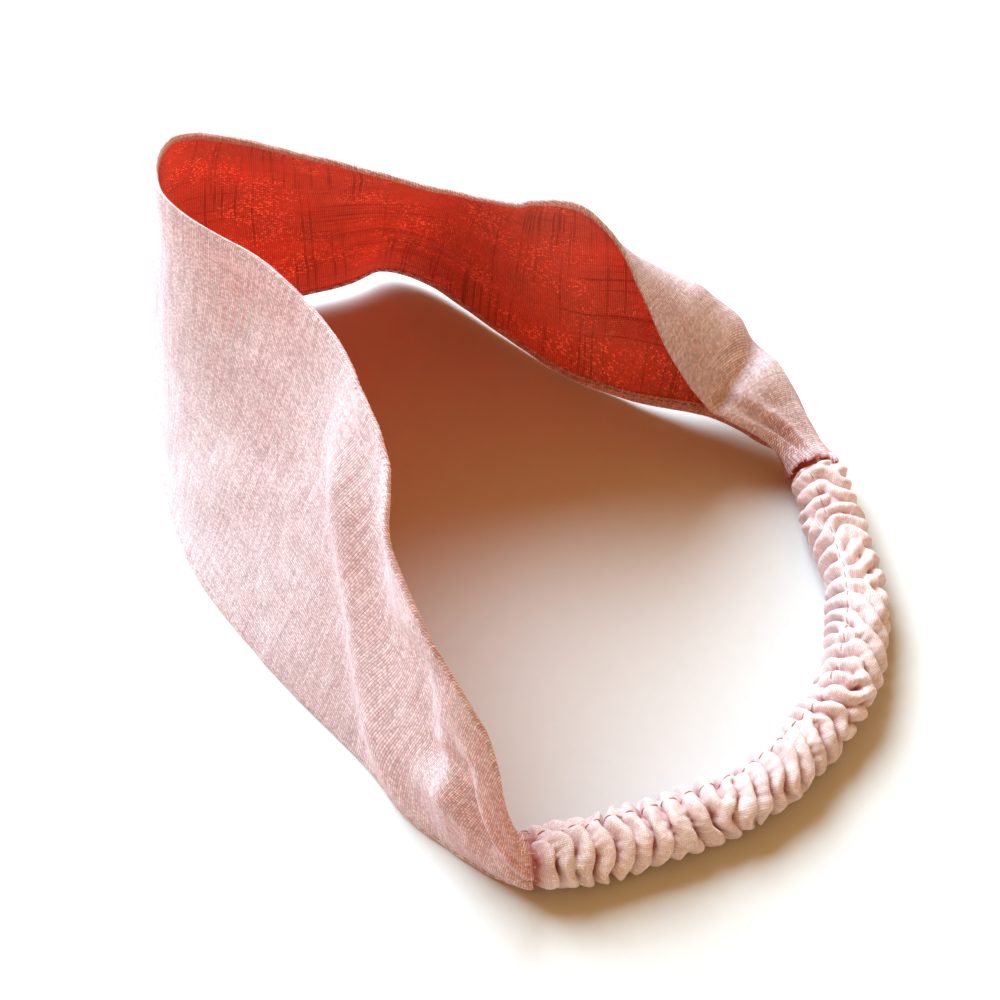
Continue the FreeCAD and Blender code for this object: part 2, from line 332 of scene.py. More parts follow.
def thread_tubes(name, paths, radius, sides=6):
    """One mesh of separate closed tubes, each following its own path of points."""
    vertices, faces = [], []
    count = 0
    for path in paths:
        path = np.asarray(path)
        ahead = unit(np.gradient(path, axis=0))
        guide = np.array([0.0, 0.0, 1.0]) if abs(ahead[0, 2]) < 0.9 else np.array([1.0, 0.0, 0.0])
        side = unit(np.cross(ahead, guide))
        up = np.cross(ahead, side)
        share = np.linspace(0.0, 1.0, len(path))
        swell = radius * np.sqrt(np.clip(1.0 - (2.0 * share - 1.0) ** 6, 0.04, 1.0))
        turn = np.linspace(0.0, 2 * np.pi, sides, endpoint=False)
        ring = side[:, None] * np.cos(turn)[:, None] + up[:, None] * np.sin(turn)[:, None]
        tube = path[:, None] + ring * swell[:, None, None]
        rows = len(path)
        vertices.append(tube.reshape(-1, 3))
        vertices.append(path[[0, -1]])
        faces.append(grid_faces(rows, sides, count, True))
        first, last = count + rows * sides, count + rows * sides + 1
        around = np.arange(sides)
        nearer = np.roll(around, -1)
        far = around + (rows - 1) * sides + count
        far_nearer = nearer + (rows - 1) * sides + count
        faces.append(np.stack([np.full(sides, first), around + count, nearer + count], -1))
        faces.append(np.stack([np.full(sides, last), far_nearer, far], -1))
        count = last + 1
    listed = [face.tolist() for block in faces for face in block]
    mesh = bpy.data.meshes.new(name)
    mesh.from_pydata(np.concatenate(vertices).tolist(), [], listed)
    mesh.update()
    mesh.shade_smooth()
    piece = bpy.data.objects.new(name, mesh)
    bpy.context.scene.collection.objects.link(piece)
    return piece


# ---------------------------------------------------------------- folds in the panel

# Soft folds: start and end as length along the panel and share of its width, half width,
# and height towards the outer side.
FOLDS = [
    ((0.076, 0.80), (0.043, 0.16), 0.0060, 0.0050),
    ((0.044, 0.76), (0.033, 0.48), 0.0064, -0.0038),
    ((0.028, 0.70), (0.015, 0.40), 0.0040, -0.0040),
    ((0.036, 0.55), (0.024, 0.80), 0.0026, 0.0008),
    ((0.120, 0.20), (0.090, 0.55), 0.0080, 0.0010),
    ((0.235, 0.35), (0.290, 0.22), 0.0050, -0.0022),
    ((0.312, 0.50), (0.317, 0.95), 0.0042, -0.0036),
    ((0.296, 0.62), (0.304, 0.95), 0.0050, 0.0012),
]
END_PLEATS = 2.8
PLEAT_HEIGHT = 0.0018
PLEAT_REACH = 0.016


def fold_height(length, across):
    """How far the listed folds push the cloth outwards."""
    height = np.zeros(np.broadcast(length, across).shape)
    for (start, start_share), (end, end_share), half_width, lift in FOLDS:
        start_width, end_width = panel_width(position_at(np.array([start, end])))
        first = np.array([start, start_share * start_width])
        second = np.array([end, end_share * end_width])
        run = second - first
        place = ((length - first[0]) * run[0] + (across - first[1]) * run[1]) / (run @ run)
        beside = ((length - first[0]) * run[1] - (across - first[1]) * run[0]) / np.linalg.norm(run)
        ends = eased((place + 0.35) / 0.5) * eased((1.35 - place) / 0.5)
        height += lift * ends * np.exp(-((beside / half_width) ** 2))
    return height


def cloth_relief(length, across, width):
    """Height of all the panel's creases and waves over its smooth surface."""
    share = across / width
    from_middle = across - width / 2
    relief = 0.00070 * soft_noise(length, from_middle, 0.030, 11)
    relief += 0.00022 * soft_noise(length, from_middle, 0.011, 12)
    relief += 0.00008 * soft_noise(length, from_middle, 0.0045, 13)
    relief += fold_height(length, across)
    edge = np.minimum(across, width - across)
    pucker = 0.00022 * soft_noise(length, from_middle * 0.2, 0.0042, 14)
    relief += pucker * np.exp(-edge / 0.0045)
    to_end = np.minimum(length, PANEL_LENGTH - length)
    gathered = np.exp(-np.maximum(to_end, 0.0) / PLEAT_REACH)
    wander = 0.8 * soft_noise(length, share, 0.25, 15)
    wander += 0.25 * soft_noise(length, share * 0.02, 0.012, 16)
    wave = np.cos(2 * np.pi * (END_PLEATS * share + wander))
    relief += PLEAT_HEIGHT * gathered ** 1.2 * wave * np.clip(edge / 0.002, 0.3, 1)
    return relief


def pocket_frame(from_rim, right):
    """Middle, width direction and outer side of a pocket, at distances back from its rim."""
    beyond = POCKET_REACHES[right] - from_rim
    centre, inner = casing_frame(CASING_LENGTH - beyond if right else beyond)
    up = np.array([0.0, 0.0, 1.0])
    roll = math.radians(POCKET_ROLLS[right])
    wide = up * math.cos(roll) + inner * math.sin(roll)
    outer = up * math.sin(roll) - inner * math.cos(roll)
    return centre, wide, outer


def close_round_casing(points, share, out, from_rim, right):
    """Bend the last rows at one end of the panel into a pocket round the casing's end.

    share runs over the width, and out is how far each point lies outside the pocket's middle.
    """
    centre, wide, outer = pocket_frame(from_rim, right)
    target = centre[:, None] + outer[:, None] * out[..., None]
    target = target + wide[:, None] * (POCKET_BOTTOM + share * POCKET_WIDTHS[right])[..., None]
    weight = np.clip(1.0 - (from_rim - POCKET_LENGTH) / TUCK_LENGTH, 0.0, 1.0) ** 2
    return points + (target - points) * weight[:, None, None]


def laid_on_panel(length, across, offset, side):
    """Points on the finished panel, creases and end pockets included.

    Each row has a length along the panel. across and offset say how far up the section and
    how far outside the panel's middle each point lies, and side which side of the casing it
    passes: 1 outside, -1 inside.
    """
    position = position_at(length)
    width = panel_width(position)[:, None]
    relief = cloth_relief(length[:, None], across, width)
    points = panel_surface(position, across, offset + relief)
    share = across / width
    bulge = POCKET_THICKNESS / 2 * np.sqrt(np.clip(1.0 - (2.0 * share - 1.0) ** 2, 0.0, 1.0))
    out = side * bulge + offset + 0.5 * relief
    from_left_rim = length + POCKET_REACHES[0]
    from_right_rim = PANEL_LENGTH + POCKET_REACHES[1] - length
    points = close_round_casing(points, share, out, from_left_rim, 0)
    return close_round_casing(points, share, out, from_right_rim, 1)


def panel_cloth(profile, columns):
    """Grid of middle points of one layer, with its place in the flat cloth.

    profile gives, from the width at each row and a run of 0 to 1 over the columns, the
    across, offset and side of each column.
    """
    length = np.linspace(-POCKET_REACHES[0], PANEL_LENGTH + POCKET_REACHES[1], ROWS_ALONG)
    width = panel_width(position_at(length))[:, None]
    across, offset, side = profile(width, np.linspace(0.0, 1.0, columns)[None])
    points = laid_on_panel(length, across, offset, side)
    steps = np.linalg.norm(np.diff(np.stack([across, offset], -1), axis=1), axis=-1)
    unrolled = np.concatenate([0 * length[:, None], np.cumsum(steps, 1)], 1)
    unrolled -= unrolled[:, -1:] / 2
    flat = np.stack([np.broadcast_to(length[:, None], across.shape), unrolled], -1)
    return points, flat


def outer_profile(width, run):
    """Outer cloth over a section, with both hems turned in under its edges."""
    roll = (OUTER_OFFSET - HEM_OFFSET) / 2
    middle = (OUTER_OFFSET + HEM_OFFSET) / 2
    hem_share, roll_share = 0.04, 0.06
    from_edge = np.minimum(run, 1.0 - run)
    hem = np.where(run < 0.5, BOTTOM_HEM, TOP_HEM) + 0 * width
    hem = np.minimum(hem, width * 0.3)
    on_hem = from_edge / hem_share
    on_roll = (from_edge - hem_share) / roll_share
    on_face = (from_edge - hem_share - roll_share) / (0.5 - hem_share - roll_share)
    inset = roll + (width / 2 - roll) * on_face
    inset = np.where(on_roll < 1, roll - roll * np.sin(np.pi * on_roll), inset)
    inset = np.where(on_hem < 1, hem + (roll - hem) * on_hem, inset)
    across = np.where(run < 0.5, inset, width - inset)
    offset = middle - roll * np.cos(np.pi * np.clip(on_roll, 0.0, 1.0)) + 0 * width
    return across, offset, (offset - middle) / roll


def lining_profile(width, run):
    """Lining over a section, its edges caught under the hems."""
    across = LINING_INSET + (width - 2 * LINING_INSET) * run
    level = 0 * across
    return across, level + LINING_OFFSET, level - 1.0


def make_outer_panel():
    """Pink outer cloth, turned over the long edges into narrow hems on the inside."""
    points, flat = panel_cloth(outer_profile, COLUMNS_ACROSS + 26)
    return thick_cloth("outer_panel_cloth", points, flat, CLOTH_THICKNESS, hidden="back")


def make_lining():
    """Lining, caught under the hems; its coral-red colour is painted shade and painted back-light glow.
    """
    points, flat = panel_cloth(lining_profile, COLUMNS_ACROSS)
    return thick_cloth("lining_cloth", points, flat, CLOTH_THICKNESS, hidden="front")


# ---------------------------------------------------------------- stitching

STITCH_CLEAR_OF_END = 0.008
OVERCAST_RADIUS = 0.00011
OVERCAST_PITCH = 0.00125
OVERCAST_SLANT = 0.0010
RUNNING_RADIUS = 0.00016
RUNNING_SPAN = 0.0021
RUNNING_PITCH = 0.0027
RUNNING_INSET = 0.0017
RUNNING_LIFT = 0.00018
SEAM_SPAN = 0.0019
SEAM_PITCH = 0.0025
SEAM_RADIUS = 0.00014
SEAM_CLEAR_OF_END = 0.006
END_STITCHES = 13


def panel_points(length, across, offset):
    """Points of a stitch on the finished panel."""
    middle = (OUTER_OFFSET + HEM_OFFSET) / 2
    side = np.clip(2.0 * (offset - middle) / (OUTER_OFFSET - HEM_OFFSET), -1.0, 1.0)
    across = np.asarray(across, float)[:, None]
    return laid_on_panel(length, across, offset[:, None], side[:, None])[:, 0]


def running_stitches(face, lift, start, end):
    """Paths of running stitches in the bottom hem: each dips into the cloth at both ends."""
    paths = []
    wander = np.random.default_rng(21)
    place = start
    share = np.linspace(0.0, 1.0, 6)
    while place + RUNNING_SPAN < end:
        length = place + RUNNING_SPAN * share
        across = np.full(6, RUNNING_INSET + wander.normal(0, 0.00005))
        height = face + lift * (np.sin(np.pi * share) * 1.4 - 0.6)
        paths.append(panel_points(length, across, height))
        place += RUNNING_PITCH * (1 + wander.normal(0, 0.03))
    return paths


def overcast_stitches(start, end):
    """Paths of slanted stitches that wrap over the panel's top edge."""
    paths = []
    wander = np.random.default_rng(22)
    place = start
    middle = (OUTER_OFFSET + HEM_OFFSET) / 2
    reach = (OUTER_OFFSET - HEM_OFFSET + CLOTH_THICKNESS) / 2 + OVERCAST_RADIUS * 0.4
    turn = np.linspace(-0.3, 1.3, 9) * np.pi
    while place < end:
        length = place + OVERCAST_SLANT * np.linspace(-0.5, 0.5, 9) * (1 + wander.normal(0, 0.25))
        across = panel_width(position_at(length)) - reach * (0.72 - np.sin(turn))
        paths.append(panel_points(length, across, middle + reach * np.cos(turn)))
        place += OVERCAST_PITCH * (1 + wander.normal(0, 0.12))
    return paths


def make_edge_stitching():
    """Overcast stitches along the top edge and running stitches along the bottom."""
    start, end = STITCH_CLEAR_OF_END, PANEL_LENGTH - STITCH_CLEAR_OF_END
    top_piece = thread_tubes("top_edge_thread", overcast_stitches(start, end), OVERCAST_RADIUS)
    outside = OUTER_OFFSET + CLOTH_THICKNESS / 2
    inside = HEM_OFFSET - CLOTH_THICKNESS / 2
    bottom = running_stitches(outside, RUNNING_LIFT, start, end)
    bottom += running_stitches(inside, -RUNNING_LIFT, start + RUNNING_PITCH / 2, end)
    bottom_piece = thread_tubes("bottom_edge_thread", bottom, RUNNING_RADIUS)
    return top_piece, bottom_piece


# ---------------------------------------------------------------- gathered casing

CASING_ROWS = 620
CASING_COLUMNS = 128

# Where the gathered cloth starts and ends along the casing's path, inside the two pockets.
CASING_FROM = -0.0082
CASING_TO = CASING_LENGTH - 0.0001

# Its radius deep in the folds, on their ridges, and at its two mouths, which stay plain for
# MOUTH_LENGTH and open out over as much again.
VALLEY_RADIUS = 0.0032
RIDGE_RADIUS = 0.0062
MOUTH_RADIUS = 0.0034
MOUTH_LENGTH = 0.0024
FOLD_SPACING = 0.0038
CREASE_SPACING = 0.0018
CREASE_HEIGHT = 0.00025
SEAM_DIRECTION = 60.0
SEAM_PINCH_ANGLE = 8.0

# How gently the cloth flattens where it meets the floor.
FLOOR_EASE = 0.0008


def buckled_folds(rows, columns, spacing, across_bias, steps, seed):
    """Heights from -1 to 1 of the folds in gathered cloth round the casing.

    Grown from noise by the Swift-Hohenberg rule for buckling: ridges at one spacing, which
    run mostly round the tube and fork where they don't match.
    """
    length = CASING_TO - CASING_FROM
    height = np.random.default_rng(seed).normal(0.0, 0.3, (rows, columns))
    along = 2 * np.pi * np.fft.fftfreq(rows, length / rows)[:, None]
    around = 2 * np.pi * np.fft.fftfreq(columns, 2 * np.pi * CASING_RADIUS / columns)[None]
    wanted = 2 * np.pi / spacing
    size = (along ** 2 + around ** 2) / wanted ** 2
    growth = 0.4 - (size - 1.0) ** 2 - across_bias * (around / wanted) ** 2
    step = 0.4
    for _ in range(steps):
        spectrum = np.fft.fft2(height - step * height ** 3)
        height = np.real(np.fft.ifft2(spectrum / (1.0 - step * growth)))
    return height / np.percentile(np.abs(height), 99)


def around_noise(length, turn, size, seed):
    """Soft noise that joins up round the tube."""
    across = CASING_RADIUS * np.cos(turn)
    upward = CASING_RADIUS * np.sin(turn)
    return (soft_noise(length + upward * 1.7, across, size, seed)
            + soft_noise(length * 0.9 - across, upward + 0.3, size, seed + 50)) / 1.6


def casing_grid():
    """Middle points of the gathered cloth, their place in the flat cloth, and fold heights."""
    length = np.linspace(CASING_FROM, CASING_TO, CASING_ROWS)[:, None]
    turn = np.linspace(0.0, 2 * np.pi, CASING_COLUMNS, endpoint=False)[None]
    folds = buckled_folds(CASING_ROWS, CASING_COLUMNS, FOLD_SPACING, 0.13, 60, 3)
    small = buckled_folds(CASING_ROWS, CASING_COLUMNS, CREASE_SPACING, 0.0, 22, 9)
    rounded = np.clip(0.5 + 0.6 * folds, 0.0, 1.0)
    rounded = np.sqrt(1.0 - (1.0 - rounded) ** 2)
    ridge = 0.68 * rounded + 0.32 * np.clip(0.5 + 0.5 * folds, 0.0, 1.2)
    depth = np.clip(0.95 + 0.70 * around_noise(length, turn, 0.0042, 31), 0.30, 1.25)
    swell = 0.0006 * around_noise(length, turn, 0.0055, 33)
    radius = RIDGE_RADIUS + swell - (RIDGE_RADIUS - VALLEY_RADIUS) * (1.0 - ridge) * depth
    radius += CREASE_HEIGHT * np.clip(small, -1.0, 0.6) * (1.25 - ridge)
    radius += 0.0004 * np.cos(turn) ** 2 - 0.0001
    from_seam = (np.degrees(turn) - SEAM_DIRECTION + 180.0) % 360.0 - 180.0
    pinch = np.exp(-((from_seam / SEAM_PINCH_ANGLE) ** 2))
    radius = radius - pinch * 0.4 * np.maximum(radius - 0.0048, 0.0)
    to_end = np.minimum(length - CASING_FROM, CASING_TO - length)
    radius = np.maximum(radius, 0.0033 + 0.0011 * np.sin(turn) ** 8)
    mouth = eased((to_end - MOUTH_LENGTH) / MOUTH_LENGTH)
    radius = MOUTH_RADIUS + (radius - MOUTH_RADIUS) * mouth
    lean = 0.0020 * around_noise(length, turn, 0.0075, 35) * ridge * mouth
    wander = 0.0008 * soft_noise(length, 0.0, 0.014, 36) * mouth
    lift = 0.0004 * soft_noise(length, 0.0, 0.017, 37) * mouth
    points = np.zeros((CASING_ROWS, CASING_COLUMNS, 3))
    for column in range(CASING_COLUMNS):
        centre, inner = casing_frame((length + lean)[:, column])
        angle = turn[0, column]
        outward = inner * math.cos(angle) + np.array([0.0, 0.0, 1.0]) * math.sin(angle)
        points[:, column] = centre + outward * radius[:, column:column + 1] + inner * wander
        points[:, column, 2] += lift[:, 0]
    settle_on_floor(points)
    steps = np.linalg.norm(np.diff(points, axis=0), axis=-1)
    laid = np.concatenate([np.zeros((1, CASING_COLUMNS)), np.cumsum(steps, 0)])
    laid *= laid[-1].mean() / laid[-1:]
    flat = np.stack([laid, np.broadcast_to(turn * CASING_RADIUS, laid.shape)], -1)
    height = np.clip((radius - VALLEY_RADIUS) / (RIDGE_RADIUS - VALLEY_RADIUS), 0.0, 1.0)
    return points, flat, height


def settle_on_floor(points):
    """Flatten what would lie under the floor, easing into it."""
    rest = CLOTH_THICKNESS * 0.6
    low = points[..., 2]
    flattened = rest + FLOOR_EASE * np.exp((low - rest - FLOOR_EASE) / FLOOR_EASE)
    points[..., 2] = np.where(low < rest + FLOOR_EASE, flattened, low)


def make_casing():
    """Gathered tube of cloth round the elastic, with the height of its folds in a UV map."""
    points, flat, height = casing_grid()
    piece = thick_cloth("casing_cloth", points, flat, CLOTH_THICKNESS, wrap=True, hidden="back")
    heights = np.concatenate([height.ravel()] * 2)
    add_uv_map(piece.data, "FoldHeight", np.stack([heights, np.zeros_like(heights)], -1))
    return piece


def make_casing_seam():
    """Row of stitches that closes the casing, sunk between the folds."""
    points, _, _ = casing_grid()
    column = int(round(SEAM_DIRECTION / 360.0 * CASING_COLUMNS))
    line = points[:, column]
    normals = grid_normals(points, True)[:, column]
    steps = np.linalg.norm(np.diff(line, axis=0), axis=1)
    run = np.concatenate([[0.0], np.cumsum(steps)])
    share = np.linspace(0.0, 1.0, 7)
    rise = CLOTH_THICKNESS / 2 + 0.00016 * (1.5 * np.sin(np.pi * share) - 0.6)
    paths = []
    for place in np.arange(SEAM_CLEAR_OF_END, run[-1] - SEAM_CLEAR_OF_END, SEAM_PITCH):
        here = place + SEAM_SPAN * share
        path = np.stack([np.interp(here, run, line[:, axis]) for axis in range(3)], -1)
        normal = np.stack([np.interp(here, run, normals[:, axis]) for axis in range(3)], -1)
        paths.append(path + unit(normal) * rise[:, None])
    return thread_tubes("casing_seam_thread", paths, SEAM_RADIUS)


def make_end_stitching(name, right, seed):
    """Whip stitches that sew one end of the panel down round the casing."""
    wander = np.random.default_rng(seed)
    paths = []
    for turn in np.arange(END_STITCHES) * 2 * math.pi / END_STITCHES:
        turn += wander.normal(0, 0.08)
        step = np.linspace(-0.2, 1.2, 8) * math.pi
        centre, wide, outer = pocket_frame(0.0001 + 0.0007 * np.cos(step), right)
        rise = 0.0002 + 0.0003 * np.sin(step)[:, None]
        half = POCKET_WIDTHS[right] / 2
        to_side = wide * (POCKET_BOTTOM + half + math.cos(turn) * (half + rise))
        to_outside = outer * math.sin(turn) * (POCKET_THICKNESS / 2 + rise)
        paths.append(centre + to_side + to_outside)
    return thread_tubes(name, paths, OVERCAST_RADIUS * 1.3)


ELASTIC_THICKNESS = 0.0010
ELASTIC_OVERRUN = 0.001
RIB_HEIGHT = 0.00012


def make_elastic():
    """Flat ribbed elastic inside the casing."""
    length = np.linspace(-ELASTIC_OVERRUN, CASING_LENGTH + ELASTIC_OVERRUN, 240)
    height = np.linspace(-1.0, 1.0, 25)
    low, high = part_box("elastic_band")
    half = (high.z - low.z) / 2
    centre, inner = casing_frame(length)
    ribs = RIB_HEIGHT * np.cos(height * np.pi * 8)
    up = np.array([0.0, 0.0, 1.0])
    points = centre[:, None] + up * (height * half)[None, :, None] + inner[:, None] * ribs[None, :, None]
    flat = np.stack(np.broadcast_arrays(length[:, None], (height * half)[None]), -1)
    return thick_cloth("elastic_ribbon", points, flat, ELASTIC_THICKNESS)


# ---------------------------------------------------------------- materials


class Shader:
    """Short ways to add nodes to one material and join them up."""

    def __init__(self, name):
        self.material = bpy.data.materials.new(name)
        self.material.use_nodes = True
        self.tree = self.material.node_tree
        self.tree.nodes.clear()

    def node(self, kind, inputs=None, **settings):
        """Add a node; each input is a number, a colour or another node's socket."""
        made = self.tree.nodes.new(kind)
        for name, value in settings.items():
            setattr(made, name, value)
        for name, value in (inputs or {}).items():
            if isinstance(value, bpy.types.NodeSocket):
                self.tree.links.new(value, made.inputs[name])
            else:
                made.inputs[name].default_value = value
        return made

    def math(self, operation, first, second=0.0, third=0.0, clamp=False):
        """Result of one math node."""
        made = self.node("ShaderNodeMath", {0: first, 1: second, 2: third},
                         operation=operation, use_clamp=clamp)
        return made.outputs[0]

    def vector(self, x, y, z=0.0):
        """Vector made of three numbers or sockets."""
        return self.node("ShaderNodeCombineXYZ", {0: x, 1: y, 2: z}).outputs[0]

    def noise(self, place, scale, detail):
        """Noise from 0 to 1 at a place."""
        made = self.node("ShaderNodeTexNoise",
                         {"Vector": place, "Scale": scale, "Detail": detail, "Roughness": 0.5},
                         noise_dimensions="3D")
        return made.outputs[0]

    def spread(self, value, low, high, to_low=0.0, to_high=1.0):
        """A value moved smoothly from one range to another."""
        made = self.node("ShaderNodeMapRange",
                         {"Value": value, "From Min": low, "From Max": high,
                          "To Min": to_low, "To Max": to_high}, interpolation_type="SMOOTHSTEP")
        return made.outputs[0]

    def mix(self, share, first, second, blend="MIX"):
        """Two colours mixed."""
        made = self.node("ShaderNodeMix", {0: share, 6: first, 7: second},
                         data_type="RGBA", blend_type=blend)
        return made.outputs[2]

    def finish(self, surface):
        """Join the surface to the output and return the material."""
        self.node("ShaderNodeOutputMaterial", {"Surface": surface})
        return self.material


def thread_noise(shader, thread, spread, run, scale, seed, detail=1.0):
    """Noise that is drawn out along each thread and changes from one thread to the next."""
    place = shader.vector(
        shader.math("MULTIPLY", thread, spread),
        shader.math("MULTIPLY", run, scale),
        seed,
    )
    return shader.noise(place, 1.0, detail)


def add_weave(shader):
    """Plain weave on the flat cloth.

    Gives the place along and across the flat cloth, thread height, the holes between threads,
    how thick each weft and warp thread runs, and a random number for each crossing.
    """
    uv = shader.node("ShaderNodeUVMap", uv_map="FlatCloth").outputs[0]
    split = shader.node("ShaderNodeSeparateXYZ", {0: uv})
    along, across = split.outputs[0], split.outputs[1]
    weft_drift = shader.noise(shader.vector(along, across, 1.0), 55.0, 1.0)
    warp_drift = shader.noise(shader.vector(along, across, 3.0), 55.0, 1.0)
    along = shader.math("MULTIPLY_ADD", weft_drift, THREAD_DRIFT, along)
    across = shader.math("MULTIPLY_ADD", warp_drift, THREAD_DRIFT, across)
    u = shader.math("DIVIDE", along, THREAD_PITCH)
    v = shader.math("DIVIDE", across, THREAD_PITCH)
    weft, warp = shader.math("FLOOR", u), shader.math("FLOOR", v)
    weft_round = shader.math("ABSOLUTE", shader.math("SINE", shader.math("MULTIPLY", u, math.pi)))
    warp_round = shader.math("ABSOLUTE", shader.math("SINE", shader.math("MULTIPLY", v, math.pi)))
    over = shader.math("MULTIPLY", shader.math("ADD", weft, warp), 0.5)
    warp_on_top = shader.math("MULTIPLY", shader.math("FRACT", over), 2.0)
    weft_crest = shader.math("MULTIPLY_ADD", warp_round, 0.45, 0.55)
    warp_crest = shader.math("MULTIPLY_ADD", weft_round, 0.45, 0.55)
    weft_height = shader.math("MULTIPLY", weft_round, weft_crest)
    warp_height = shader.math("MULTIPLY", warp_round, warp_crest)
    height = shader.node("ShaderNodeMix", {0: warp_on_top, 2: weft_height, 3: warp_height})
    holes = shader.math("MULTIPLY", shader.math("SUBTRACT", 1.0, weft_round),
                        shader.math("SUBTRACT", 1.0, warp_round))
    weft_slub = thread_noise(shader, weft, 0.61, across, 55.0, 0.0)
    warp_slub = thread_noise(shader, warp, 0.61, along, 55.0, 7.0)
    crossing = shader.node("ShaderNodeTexWhiteNoise", {"Vector": shader.vector(weft, warp)},
                           noise_dimensions="2D").outputs[0]
    return along, across, height.outputs[0], holes, weft_slub, warp_slub, crossing


def slub_lines(shader, along, across, weft_share, warp_share):
    """Long thick threads, weft and warp: 1 on a line and 0 beside it."""
    weft = shader.math("SNAP", along, THREAD_PITCH)
    warp = shader.math("SNAP", across, THREAD_PITCH)
    weft_noise = thread_noise(shader, weft, 1900.0, across, 16.0, 1.0, 0.0)
    warp_noise = thread_noise(shader, warp, 1900.0, along, 16.0, 2.0, 0.0)
    weft_lines = shader.spread(weft_noise, weft_share, weft_share + 0.08)
    warp_lines = shader.spread(warp_noise, warp_share, warp_share + 0.08)
    return shader.math("MAXIMUM", weft_lines, warp_lines)


def shaded(shader, colour, value):
    """A colour made lighter or darker by one number."""
    return shader.mix(1.0, colour, shader.vector(value, value, value), "MULTIPLY")


def linen(name, look):
    """Woven linen: thread colour from its height, slubs both ways, and light let through.

    look holds the colours of thread valleys (dark), crests (pale), slub lines and the light let
    through (glow), and how strong each effect is. Where it has a fold shade colour, painted
    shade makes the cloth darker deep in its folds.
    """
    shader = Shader(name)
    along, across, height, holes, weft_slub, warp_slub, crossing = add_weave(shader)
    contrast = look["contrast"]
    slubs = shader.math("MULTIPLY", warp_slub, 0.8)
    slubs = shader.math("MULTIPLY_ADD", weft_slub, 1.2, slubs)
    crests = shader.spread(height, 0.1, 0.8)
    crests = shader.math("MULTIPLY_ADD", holes, -0.9, crests, clamp=True)
    colour = shader.mix(crests, look["dark"], look["pale"])
    thick = shader.spread(slubs, 0.7, 1.3, 1.0 - contrast, 1.0 + contrast)
    mottle = shader.spread(crossing, 0.0, 1.0, 1.0 - contrast * 1.2, 1.0 + contrast * 1.2)
    colour = shaded(shader, shaded(shader, colour, thick), mottle)

    patches = shader.noise(shader.vector(along, across, 5.0), 45.0, 2.0)
    lines = slub_lines(shader, along, across, *look["line_shares"])
    lines = shader.math("MULTIPLY", lines, shader.spread(patches, 0.35, 0.65, 0.35, 1.0))
    colour = shader.mix(shader.math("MULTIPLY", lines, look["lines"]), colour, look["slub"])
    colour = shaded(shader, colour, shader.spread(patches, 0.3, 0.7, 0.94, 1.05))

    # Painted shade: the cloth is multiplied darker where its folds are deepest, read from the fold
    # height.
    if "fold_shade_paint" in look:
        fold = shader.node("ShaderNodeUVMap", uv_map="FoldHeight").outputs[0]
        fold = shader.node("ShaderNodeSeparateXYZ", {0: fold}).outputs[0]
        deep = shader.spread(fold, 0.10, 0.72, 0.92, 0.0)
        colour = shader.mix(deep, colour, look["fold_shade_paint"], "MULTIPLY")

    relief = shader.math("MULTIPLY_ADD", slubs, 0.5, height)
    relief = shader.math("MULTIPLY_ADD", lines, 0.4, relief)
    bump = shader.node("ShaderNodeBump", {
        "Strength": look["bump"], "Distance": 0.00012, "Height": relief,
    }).outputs[0]
    cloth = shader.node("ShaderNodeBsdfPrincipled", {
        "Base Color": colour, "Normal": bump,
        "Roughness": shader.spread(height, 0.2, 1.0, 0.95, 0.85), "Specular IOR Level": 0.2,
        "Sheen Weight": 0.2, "Sheen Roughness": 0.5, "Sheen Tint": (1.0, 0.92, 0.92, 1.0),
    })

    specks = look["specks"]
    thin_places = shader.noise(shader.vector(along, across, 9.0), 60.0, 3.0)
    open_weave = shader.spread(thin_places, 0.42, 0.62)
    open_weave = shader.math("MULTIPLY", shader.spread(crossing, 0.80, 0.95), open_weave)
    passing = shader.spread(slubs, 0.7, 1.3, 1.12, 0.88)
    passing = shader.math("MULTIPLY_ADD", open_weave, specks, passing)
    uneven = shader.spread(patches, 0.3, 0.7, 1.0 + 0.14 * specks, 1.0 - 0.14 * specks)
    passing = shader.math("MULTIPLY", passing, uneven)
    blocked = shader.math("MULTIPLY_ADD", lines, -1.2 * look["lines"], 1.0)
    passing = shader.math("MULTIPLY", passing, blocked)
    through = shader.mix(shader.math("MULTIPLY", open_weave, 0.35), look["glow"], WARM_SPECK)
    through = shaded(shader, through, passing)
    back_light = shader.node("ShaderNodeBsdfTranslucent", {"Color": through, "Normal": bump})
    both = shader.node("ShaderNodeMixShader", {
        0: look["translucency"], 1: cloth.outputs[0], 2: back_light.outputs[0],
    })
    return shader.finish(both.outputs[0])


def between_layers():
    """Unseen faces between the layers, which pass light on from one layer to the next."""
    shader = Shader("linen_between_layers")
    grain = shader.noise(shader.node("ShaderNodeUVMap", uv_map="FlatCloth").outputs[0], 900.0, 1.0)
    colour = shader.mix(grain, (0.95, 0.85, 0.82, 1.0), (1.0, 0.92, 0.9, 1.0))
    back_light = shader.node("ShaderNodeBsdfTranslucent", {"Color": colour})
    cloth = shader.node("ShaderNodeBsdfPrincipled", {"Base Color": colour, "Roughness": 0.9})
    both = shader.node("ShaderNodeMixShader", {0: 0.95, 1: cloth.outputs[0], 2: back_light.outputs[0]})
    return shader.finish(both.outputs[0])


def thread_material(name, colour, other):
    """Twisted sewing thread."""
    shader = Shader(name)
    place = shader.node("ShaderNodeTexCoord").outputs["Object"]
    twist = shader.node("ShaderNodeTexWave", {"Vector": place, "Scale": 900.0, "Distortion": 3.0},
                        wave_type="BANDS", bands_direction="DIAGONAL").outputs[0]
    mixed = shader.mix(twist, colour, other)
    bump = shader.node("ShaderNodeBump", {"Strength": 0.5, "Distance": 0.00006, "Height": twist})
    cloth = shader.node("ShaderNodeBsdfPrincipled", {
        "Base Color": mixed, "Roughness": 0.7, "Normal": bump.outputs[0], "Sheen Weight": 0.2})
    return shader.finish(cloth.outputs[0])


